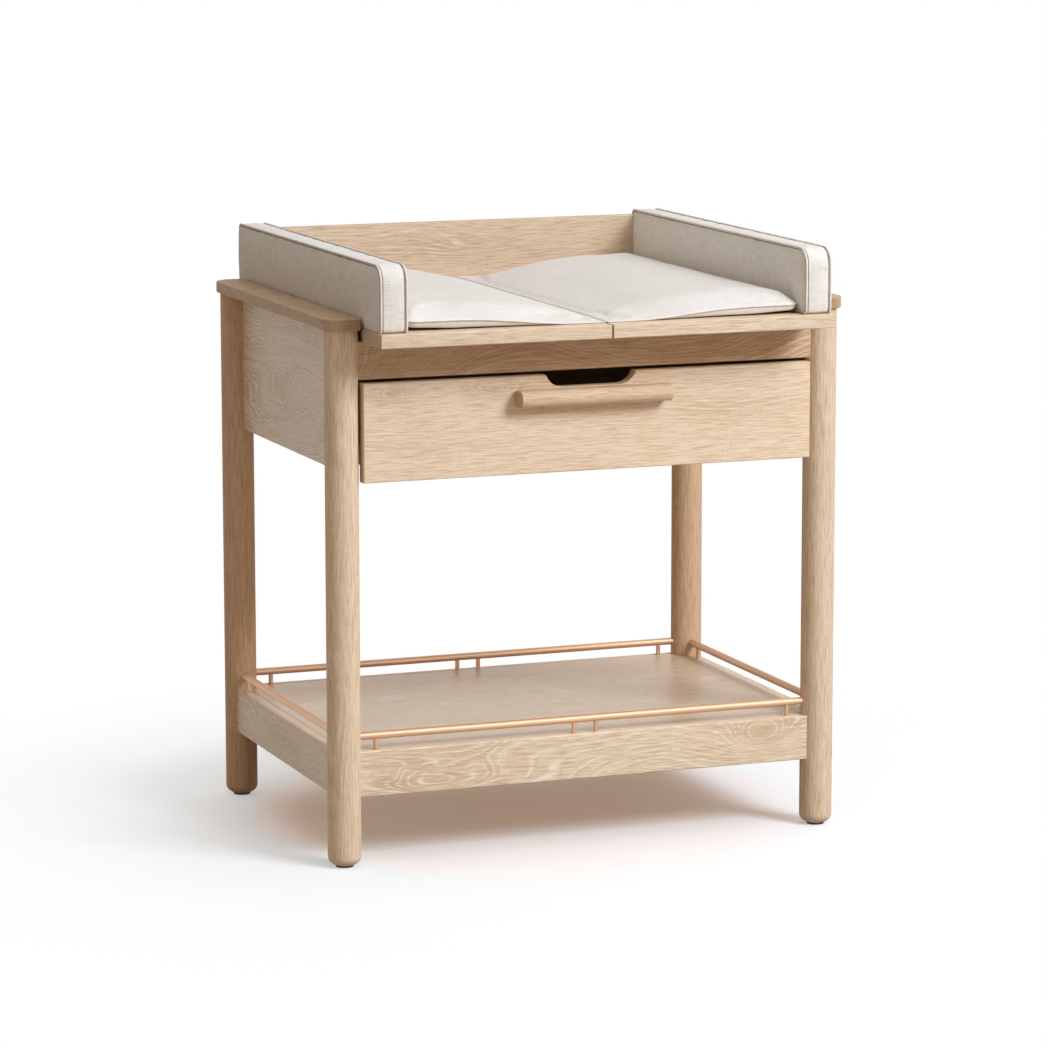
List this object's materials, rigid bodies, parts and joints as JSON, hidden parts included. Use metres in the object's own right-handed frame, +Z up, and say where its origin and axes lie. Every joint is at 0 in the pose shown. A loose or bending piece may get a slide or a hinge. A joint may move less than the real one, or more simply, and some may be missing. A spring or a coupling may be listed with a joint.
{
  "type": "changing dresser",
  "caption": "Open changing dresser: round legs, low shelf inside a metal gallery rail, wide drawer on telescopic runners, and a padded changing top between side bolsters.",
  "frame": {"origin": "on the floor, under the middle of the whole object's bounding box", "axes": "+X to the right seen from the front, +Y to the back, +Z up; the drawer opens towards -Y"},
  "size_m": [0.878, 0.738, 0.957],
  "materials": {
    "oak": "light natural oak, brushed, matt lacquer",
    "drawer_box_wood": "pale birch plywood, clear lacquer",
    "mat_linen": "off-white plain-woven linen",
    "bolster_linen": "cream plain-woven linen with piped seams",
    "gallery_metal": "satin, rose tone",
    "runner_steel": "bright zinc plated",
    "cage_polymer": "black moulded",
    "glide_polymer": "dark moulded"
  },
  "bodies": {
    "frame": {"back_board": "oak", "back_panel": "oak", "foot_glides": "glide_polymer", "front_rail": "oak", "gallery_bar_back": "gallery_metal", "gallery_bar_front": "gallery_metal", "gallery_bar_left": "gallery_metal", "gallery_bar_right": "gallery_metal", "gallery_posts": "gallery_metal", "leg_back_left": "oak", "leg_back_right": "oak", "leg_front_left": "oak", "leg_front_right": "oak", "runner_batten_left": "oak", "runner_batten_right": "oak", "runner_cabinet_left": "runner_steel", "runner_cabinet_right": "runner_steel", "shelf_apron_back": "oak", "shelf_apron_front": "oak", "shelf_apron_left": "oak", "shelf_apron_right": "oak", "shelf_batten_back": "oak", "shelf_batten_front": "oak", "shelf_batten_left": "oak", "shelf_batten_right": "oak", "shelf_panel": "oak", "side_cap_left": "oak", "side_cap_right": "oak", "side_panel_left": "oak", "side_panel_right": "oak", "top_bearer": "oak", "top_cleat_left": "oak", "top_cleat_right": "oak", "top_leaf_left": "oak", "top_leaf_right": "oak"},
    "drawer": {"drawer_front": "oak", "drawer_handle": "oak", "drawer_bottom": "drawer_box_wood", "drawer_back": "drawer_box_wood", "drawer_side_left": "drawer_box_wood", "drawer_side_right": "drawer_box_wood", "runner_slide_left": "runner_steel", "runner_slide_right": "runner_steel"},
    "runner_middle_left": {"runner_middle_left": "runner_steel", "runner_cages_left": "cage_polymer"},
    "runner_middle_right": {"runner_middle_right": "runner_steel", "runner_cages_right": "cage_polymer"},
    "mat_left": {"mat_left": "mat_linen"},
    "mat_right": {"mat_right": "mat_linen"},
    "bolster_left": {"bolster_left": "bolster_linen"},
    "bolster_right": {"bolster_right": "bolster_linen"}
  },
  "joints": [
    {"name": "drawer_slide", "type": "slide", "parent": "frame", "child": "drawer", "axis": [0, -1, 0], "range_m": [0, 0.4]},
    {"name": "runner_left_slide", "type": "slide", "parent": "frame", "child": "runner_middle_left", "axis": [0, -1, 0], "range_m": [0, 0.2]},
    {"name": "runner_right_slide", "type": "slide", "parent": "frame", "child": "runner_middle_right", "axis": [0, -1, 0], "range_m": [0, 0.2]},
    {"name": "mat_left_lift", "type": "slide", "parent": "frame", "child": "mat_left", "axis": [0, 0, 1], "range_m": [0, 0.12]},
    {"name": "mat_right_lift", "type": "slide", "parent": "frame", "child": "mat_right", "axis": [0, 0, 1], "range_m": [0, 0.12]},
    {"name": "bolster_left_lift", "type": "slide", "parent": "frame", "child": "bolster_left", "axis": [0, 0, 1], "range_m": [0, 0.12]},
    {"name": "bolster_right_lift", "type": "slide", "parent": "frame", "child": "bolster_right", "axis": [0, 0, 1], "range_m": [0, 0.12]}
  ],
  "couplings": [
    {"joint": "runner_left_slide", "follows": "drawer_slide", "ratio": 0.5},
    {"joint": "runner_right_slide", "follows": "drawer_slide", "ratio": 0.5}
  ]
}
